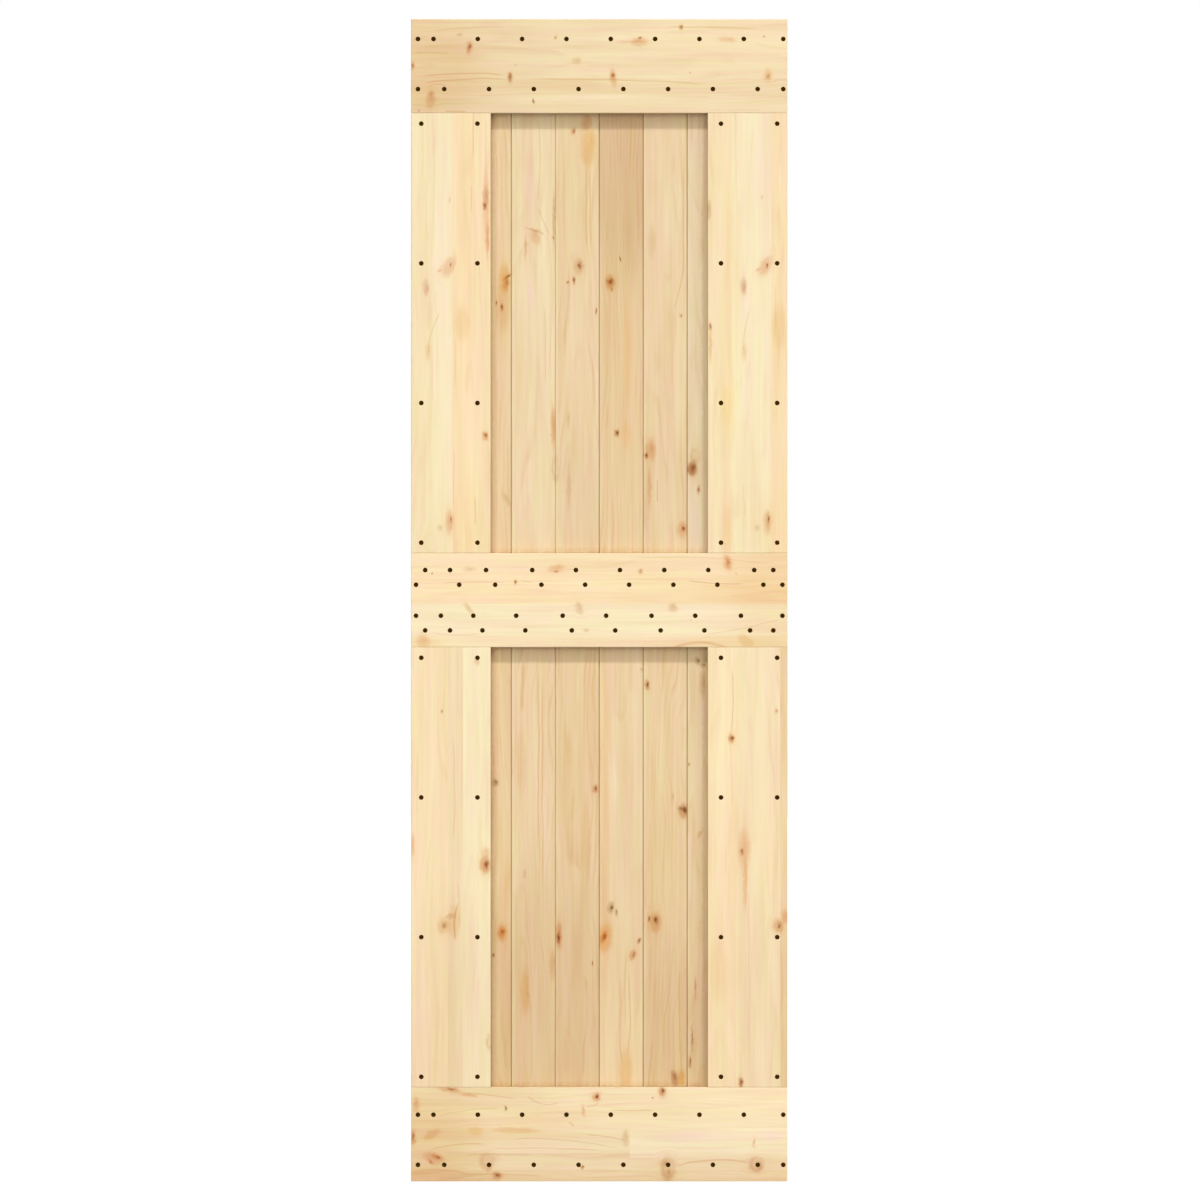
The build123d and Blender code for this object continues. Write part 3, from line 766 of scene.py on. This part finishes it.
def board_material(name, spec, home, seed, flipped, groups, settings):
    """Pine for one board. A back board is the same wood turned half round, so its x runs the other way."""
    low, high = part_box(name)
    axes = board_axes(low, high)
    along, across, _ = axes
    centre = (low + high) / 2
    sizes = (high - low) / MM
    half = [sizes[axis] / 2 for axis in axes]
    core = "_board_" in name
    material, n, shader = new_material(f"pine_{name}")

    place = n.split(n.add("ShaderNodeTexCoord", out="Object"))
    local = []
    for axis in axes:
        sign = -1.0 if flipped and axis != 2 else 1.0
        local.append(n.math("MULTIPLY_ADD", place[axis], sign / MM, -sign * centre[axis] / MM))
    point = n.combine(*local)

    stave = stave_values(n, spec, seed, n.math("MULTIPLY_ADD", local[1], 0.5 / half[1], 0.5))
    tone = n.math("ADD", n.math("SUBTRACT", stave[0], 0.5), spec.tone)
    # Painted highlight: a pale rim along a core board's left edge, beside the joint with the board before it.
    if core:
        rim = n.rise(n.math("MULTIPLY", local[1], -1.0), *(half[1] - off for off in PAINTED_HIGHLIGHT_RIM))
        tone = n.math("MULTIPLY_ADD", rim, PAINTED_HIGHLIGHT_TONE, tone)

    def shaken(scale, size):
        """The point, moved by noise of that scale and size."""
        return n.vector("ADD", point, n.vector("MULTIPLY", n.swing(n.vector("MULTIPLY", point, scale)), size))

    points = {
        Knot: shaken((0.10, 0.14, 0.05), (8.0, 6.0, 0.0)),
        Trace: shaken((0.016, 0.03, 0.01), (20.0, 5.0, 0.0)),
        Patch: point,
    }
    level = settings.core_level if core else 1.0
    flow = n.vector("ADD", point, n.scaled(STAVE_SHIFT, stave[1]))
    state = {"Flow": flow, "Tint": (level, level, level, 1.0), "Tone": tone}
    shades = opening_shades(name.split("_")[0], low, high) if core else ()
    for mark in (*spec.marks, *shades):
        made = n.group(groups[type(mark)], {"Point": points[type(mark)], **state, **mark_inputs(mark, home, along)})
        state = {key: made[key] for key in state}

    margins = (low[across] - CAD_BOX[0][across], CAD_BOX[1][across] - high[across])
    if flipped and across == 0:
        margins = margins[::-1]
    wood = n.group(groups["pine"], {
        "Point": point, "Pith": (0.0, spec.pith, spec.depth), "Ring": spec.ring, "Figure": spec.figure,
        "End": n.rise(n.math("ABSOLUTE", local[0]), half[0] - LINE, half[0] - 0.05),
        "Edge": edge_lines_and_shade(n, local, spec, core, half, margins), "Warmth": stave[2],
        "Seed": (seed * 3.1, seed * 1.7, seed * 2.3), **state,
    })
    relief = {"Strength": 1.0, "Distance": GRAIN_RELIEF * MM, "Height": wood["Height"]}
    n.fill(shader, {
        "Base Color": wood["Color"], "Roughness": wood["Roughness"], "Normal": n.add("ShaderNodeBump", relief),
        "Specular IOR Level": 0.1,
    })
    return material


# Meshes
def new_object(name, points, faces, material):
    """A mesh object at the origin, with its place in its points."""
    mesh = bpy.data.meshes.new(name)
    mesh.from_pydata(points, [], faces)
    mesh.update()
    mesh.materials.append(material)
    piece = bpy.data.objects.new(name, mesh)
    bpy.context.scene.collection.objects.link(piece)
    return piece


def screw_surface(radius, sides):
    """A countersunk screw's head, facing -Y, with its face at y = 0.

    It is a grid of rings and angles. The rings run from the point of the cone to the seat's mouth,
    out below a thin rim, in over a small bevel, to the edge of the cross recess and down to its
    floor. The recess's edge is at a distance that swings between the cross's arms and its corners
    four times round.
    """
    angle = np.arange(sides) * 2 * math.pi / sides
    arm = 0.5 + 0.5 * np.cos(4 * angle)
    recess = radius * (0.15 + 0.33 * arm ** 1.5)
    flat = np.ones(sides)
    rings = (
        (0.1 * radius * flat, 0.72 * radius),
        (0.87 * radius * flat, 0.023 * radius),
        (radius * flat, 0.023 * radius),
        (0.96 * radius * flat, 0.0),
        (recess, 0.0),
        (0.55 * recess, 0.34 * radius),
    )
    across = np.array([ring for ring, _ in rings])
    depth = np.array([deep * flat for _, deep in rings])
    return np.stack((across * np.cos(angle), depth, across * np.sin(angle)), axis=-1)


def screw_faces(rings, sides):
    """Quads between neighbouring rings, a face that closes the cone's point and the recess's floor."""
    ring, step = np.meshgrid(np.arange(rings - 1), np.arange(sides), indexing="ij")
    following = (step + 1) % sides
    quads = np.stack((
        ring * sides + step, ring * sides + following,
        (ring + 1) * sides + following, (ring + 1) * sides + step,
    ), axis=-1).reshape(-1, 4)
    last = (rings - 1) * sides
    return [*quads.tolist(), list(range(sides - 1, -1, -1)), list(range(last, last + sides))]


def seat_places(node, facing):
    """The inner points of a board's screw seats, one for each, and how far out the board's face is.

    A seat's point is the only corner that lies well inside the thickness.
    """
    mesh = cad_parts[node].data
    points = np.zeros(len(mesh.vertices) * 3)
    mesh.vertices.foreach_get("co", points)
    points = points.reshape(-1, 3)
    outside = points[:, 1] * facing
    depth = outside.max() - outside
    thickness = depth.max()
    inner = points[(depth > 0.2 * thickness) & (depth < 0.8 * thickness)]
    return np.unique(np.round(inner / MM, 1), axis=0) * MM, outside.max()


def make_screws(name, nodes, facing, settings, material):
    """All screws of one face as one mesh, each turned by an angle of its own."""
    surface = screw_surface(settings.head / 2, SCREW_SIDES)
    faces = screw_faces(len(surface), SCREW_SIDES)
    head = surface.reshape(-1, 3)
    random = np.random.default_rng(SCREW_SEED)
    points, polygons = [], []
    for node in nodes:
        seats, face = seat_places(node, facing)
        if not len(seats):
            raise RuntimeError(f"{node} has no screw seats")
        for seat in seats:
            turn = random.uniform(0, math.pi / 2)
            turned = np.stack((
                head[:, 0] * math.cos(turn) - head[:, 2] * math.sin(turn),
                head[:, 1] - settings.proud,
                head[:, 0] * math.sin(turn) + head[:, 2] * math.cos(turn),
            ), axis=-1)
            if facing > 0:
                turned[:, :2] *= -1
            start = len(points) * len(head)
            points.append(turned + (seat[0], facing * face, seat[2]))
            polygons += [[corner + start for corner in corners] for corners in faces]
    piece = new_object(name, np.concatenate(points).tolist(), polygons, material)
    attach(piece, "root")


def screw_material(settings):
    """Dark bronze coating, worn thin here and there."""
    material, n, shader = new_material("screw_bronze")
    wear = n.noise(n.scaled(n.add("ShaderNodeTexCoord", out="Object"), 900.0))
    worn = (*(min(1.0, 2.2 * part) for part in settings.coating[:3]), 1.0)
    n.fill(shader, {
        "Base Color": n.mix(n.rise(wear, 0.45, 0.75), tuple(settings.coating), worn),
        "Roughness": n.math("MULTIPLY_ADD", wear, 0.3, 0.4), "Specular IOR Level": 0.02,
    })
    return material


def sun(name, share, elevation, azimuth, spread, colour=(1.0, 1.0, 1.0)):
    """A sun that gives the leaf's front, or its back, that share of plain light.

    Elevation is above the horizon, and azimuth is to the right of straight in front. Both and the
    spread, the sun's own width, are in degrees.
    """
    data = bpy.data.lights.new(name, "SUN")
    up, side = math.radians(elevation), math.radians(azimuth)
    data.energy = share * math.pi / abs(math.cos(side) * math.cos(up))
    data.angle = math.radians(spread)
    data.color = colour
    lamp = bpy.data.objects.new(name, data)
    bpy.context.scene.collection.objects.link(lamp)
    lamp.rotation_euler = (math.pi / 2 - up, 0.0, side)


def seen_directly(n):
    """1 for what the camera sees itself, in a gloss or through glass, and 0 for what only lights."""
    path = n.add("ShaderNodeLightPath").node.outputs
    seen = n.math("MAXIMUM", path["Is Camera Ray"], path["Is Glossy Ray"])
    return n.math("MAXIMUM", seen, path["Is Transmission Ray"])


# Operators
class DOOR_OT_boards(bpy.types.Operator):
    """Give every board of the leaf its own pine"""

    bl_idname = "door_leaf.boards"
    bl_label = "Pine boards"

    def execute(self, context):
        settings = context.scene.door_pine
        groups = {Knot: knot_group(), Trace: trace_group(), Patch: patch_group(), "pine": pine_group(settings)}
        for index, (name, spec) in enumerate(FRONT_BOARDS.items()):
            self.dress(f"front_{name}", spec, f"front_{name}", index + 1, groups, settings)
            source = BACK_SOURCES.get(name, name)
            self.dress(f"back_{name}", FRONT_BOARDS[source], f"front_{source}", index + 11, groups, settings)
        for half, boards, first in (("upper", UPPER_CORE, 21), ("lower", LOWER_CORE, 41)):
            for index, spec in enumerate(boards):
                node = f"{half}_board_{index + 1:02d}"
                self.dress(node, spec, node, first + index, groups, settings)
        return {"FINISHED"}

    def dress(self, node, spec, source, seed, groups, settings):
        """Gives a board's solid pine with the marks of the board that they were written for."""
        low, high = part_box(source)
        material = board_material(node, spec, (low + high) / 2, seed, node.startswith("back"), groups, settings)
        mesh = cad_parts[node].data
        mesh.materials.clear()
        mesh.materials.append(material)


class DOOR_OT_screws(bpy.types.Operator):
    """Drive a countersunk screw into every seat of both faces"""

    bl_idname = "door_leaf.screws"
    bl_label = "Screws"

    def execute(self, context):
        settings = context.scene.door_screws
        material = screw_material(settings)
        for face, facing in (("front", -1), ("back", 1)):
            nodes = [f"{face}_{name}" for name in FRONT_BOARDS]
            make_screws(f"{face}_screws", nodes, facing, settings, material)
        return {"FINISHED"}


class DOOR_OT_stage(bpy.types.Operator):
    """Set the floor, the light and the camera"""

    bl_idname = "door_leaf.stage"
    bl_label = "Stage"

    def execute(self, context):
        settings = context.scene.door_stage
        scene = context.scene
        low, high = CAD_BOX
        self.make_floor(low.z)
        self.make_world(scene, settings)
        sun("key_light", settings.key, 61, 0, 5.5, COOL_LIGHT)
        sun("window_light", settings.window, 30, 42, 50, WARM_LIGHT)
        sun("side_light", settings.side, 15, -24, 28, WARM_LIGHT)
        sun("back_light", settings.back, 20, 155, 60)
        data = bpy.data.cameras.new("camera")
        data.lens = data.sensor_width * settings.distance / settings.frame_height
        data.clip_end = 100.0
        camera = bpy.data.objects.new("camera", data)
        scene.collection.objects.link(camera)
        centre = (low + high) / 2
        camera.location = (centre.x + CAMERA_ASIDE, low.y - settings.distance, centre.z + CAMERA_UP)
        camera.rotation_euler = (math.pi / 2, 0.0, 0.0)
        scene.camera = camera
        scene.view_settings.view_transform = "Standard"
        return {"FINISHED"}

    def make_floor(self, height):
        """A wide round floor. It is lit as a pale floor is, and is white where nothing shades it."""
        angle = np.linspace(0, 2 * math.pi, FLOOR_SIDES, endpoint=False)
        x, y = FLOOR_RADIUS * np.cos(angle), FLOOR_RADIUS * np.sin(angle)
        edge = np.stack((x, y, np.full(FLOOR_SIDES, height)), axis=-1)
        material, n, shader = new_material("pale_floor")
        n.fill(shader, {
            "Base Color": (FLOOR_GREY, FLOOR_GREY, FLOOR_GREY, 1.0), "Roughness": 0.9, "Specular IOR Level": 0.0,
            "Emission Color": WHITE, "Emission Strength": n.math("MULTIPLY", seen_directly(n), FLOOR_GLOW),
        })
        floor = new_object("floor", edge.tolist(), [list(range(FLOOR_SIDES))], material)

    def make_world(self, scene, settings):
        """Even room light, which the camera sees as white."""
        world = bpy.data.worlds.new("studio")
        world.use_nodes = True
        scene.world = world
        n = Nodes(world.node_tree)
        seen = seen_directly(n)
        n.fill(world.node_tree.nodes["Background"], {
            "Strength": n.math("MULTIPLY_ADD", seen, 1.0 - settings.air, settings.air),
            "Color": n.mix(seen, (*WARM_LIGHT, 1.0), WHITE),
        })


class DOOR_PT_panel(bpy.types.Panel):
    """Lists the pieces and their settings"""

    bl_idname = "DOOR_PT_panel"
    bl_label = TAB
    bl_space_type = "VIEW_3D"
    bl_region_type = "UI"
    bl_category = TAB

    def draw(self, context):
        layout = self.layout
        for operator, group in (("boards", "door_pine"), ("screws", "door_screws"), ("stage", "door_stage")):
            settings = getattr(context.scene, group)
            column = layout.column()
            column.operator(f"door_leaf.{operator}")
            for name in settings.bl_rna.properties.keys():
                if name not in ("rna_type", "name"):
                    column.prop(settings, name)


GROUPS = {"door_pine": PineSettings, "door_screws": ScrewSettings, "door_stage": StageSettings}
CLASSES = (*GROUPS.values(), DOOR_OT_boards, DOOR_OT_screws, DOOR_OT_stage, DOOR_PT_panel)


def register():
    for cls in CLASSES:
        bpy.utils.register_class(cls)
    for name, group in GROUPS.items():
        setattr(bpy.types.Scene, name, bpy.props.PointerProperty(type=group))


def unregister():
    for name in GROUPS:
        delattr(bpy.types.Scene, name)
    for cls in reversed(CLASSES):
        bpy.utils.unregister_class(cls)


def main():
    register()
    bpy.ops.door_leaf.boards()
    bpy.ops.door_leaf.screws()
    bpy.ops.door_leaf.stage()


if __name__ == "__main__":
    main()
